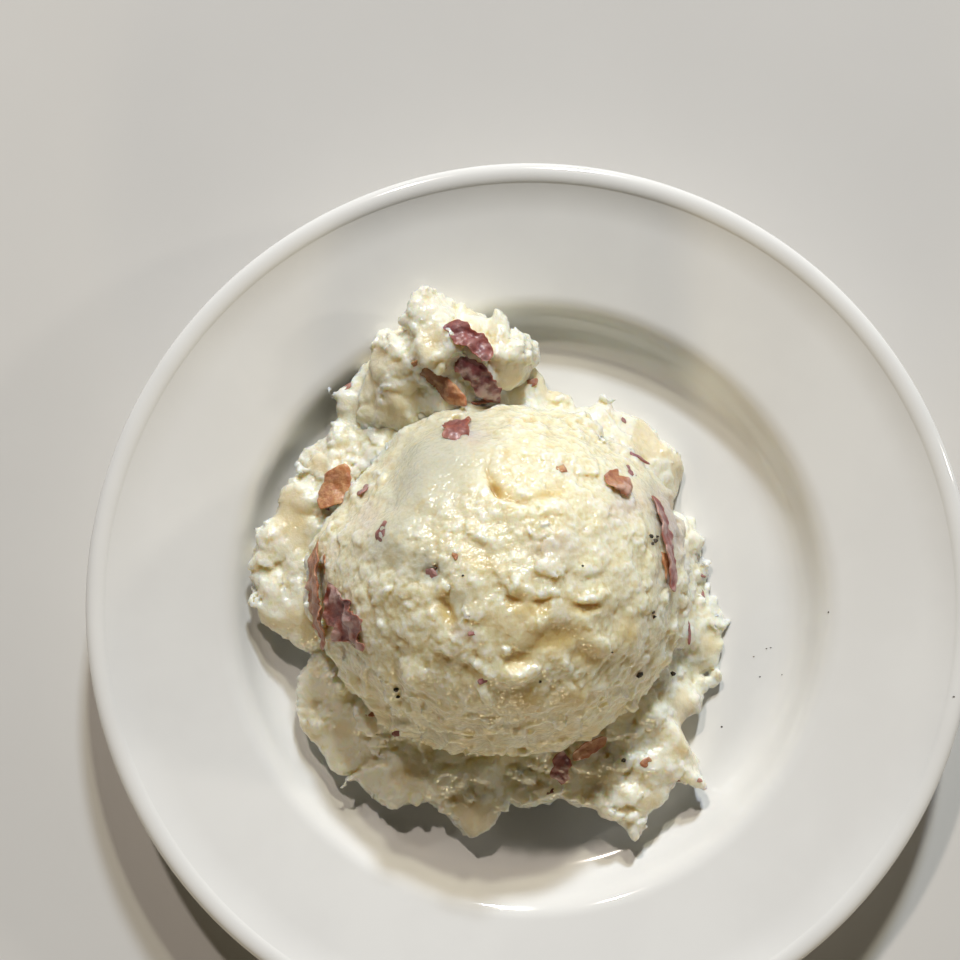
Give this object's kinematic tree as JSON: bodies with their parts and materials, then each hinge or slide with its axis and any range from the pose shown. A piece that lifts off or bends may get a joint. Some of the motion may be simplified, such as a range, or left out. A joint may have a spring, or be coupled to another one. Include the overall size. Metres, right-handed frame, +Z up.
{
  "type": "mashed potato side",
  "caption": "Scoop of skin-on mashed potato, pressed into a dome on a ragged bed of mash, served in the well of a round white rimmed plate.",
  "frame": {"origin": "middle of the plate's foot, on the surface that the plate stands on", "axes": "+Z up; +Y from the middle of the plate towards the high lump of mash beside the scoop"},
  "size_m": [0.181, 0.181, 0.0525],
  "materials": {
    "china": "warm off-white clear-glazed china",
    "mash": "moist mashed potato, pale cream to yellow, softly shining",
    "red_skin": "wet red potato skin, purple-red outside",
    "brown_skin": "wet inner side of potato skin, orange-brown",
    "pepper": "cracked black pepper"
  },
  "bodies": {
    "root": {"plate": "china", "mash": "mash", "skin_scoop_knob": "red_skin", "skin_scoop_edge": "red_skin", "skin_left_strip": "red_skin", "skin_left_patch": "red_skin", "skin_right_strip": "red_skin", "skin_scoop_brown": "brown_skin", "skin_lump_purple": "red_skin", "skin_lump_strip": "red_skin", "skin_lump_brown": "brown_skin", "skin_left_upper": "brown_skin", "skin_bottom_brown": "brown_skin", "skin_bottom_purple": "red_skin"}
  },
  "joints": []
}
